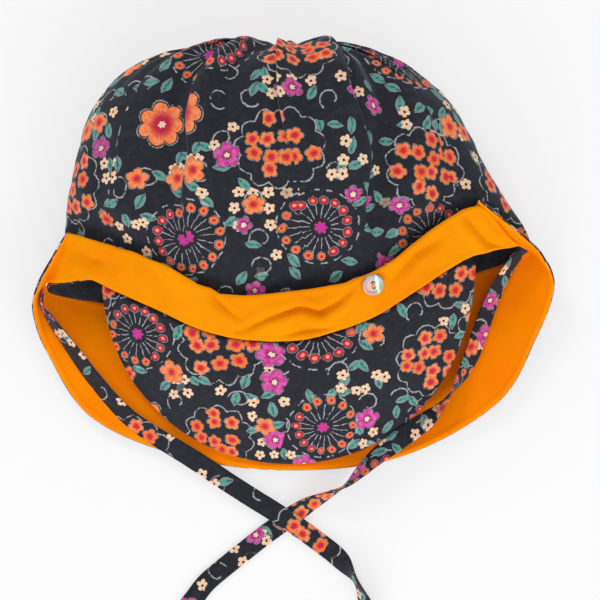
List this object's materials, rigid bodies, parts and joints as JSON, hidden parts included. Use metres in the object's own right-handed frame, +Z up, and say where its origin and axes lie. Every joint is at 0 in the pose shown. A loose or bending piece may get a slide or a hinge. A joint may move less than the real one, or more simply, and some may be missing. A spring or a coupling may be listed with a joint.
{
  "type": "baby sun hat with neck flap and ties",
  "caption": "Soft baby sun hat lying on its back, with a gathered crown, turned-up front cuff, visor, neck flap and flat ties.",
  "frame": {"origin": "under the middle of the hat without its ties, on the surface that it lies on", "axes": "+Z up from the surface, +Y towards the gathered top of the crown, +X towards the corner of the right tie as seen from above"},
  "size_m": [0.2476, 0.2771, 0.066],
  "materials": {
    "printed_cotton": "plain-woven cotton, near-black navy ground with a small floral print",
    "orange_cotton": "plain-woven bright orange cotton",
    "shell": "polished pearly shell",
    "orange_thread": "twisted sewing thread"
  },
  "bodies": {
    "root": {"crown": "printed_cotton", "front_cuff": "orange_cotton", "visor": "printed_cotton", "neck_flap": "orange_cotton", "tie_left": "printed_cotton", "tie_right": "printed_cotton", "button": "shell", "button_thread": "orange_thread"}
  },
  "joints": []
}
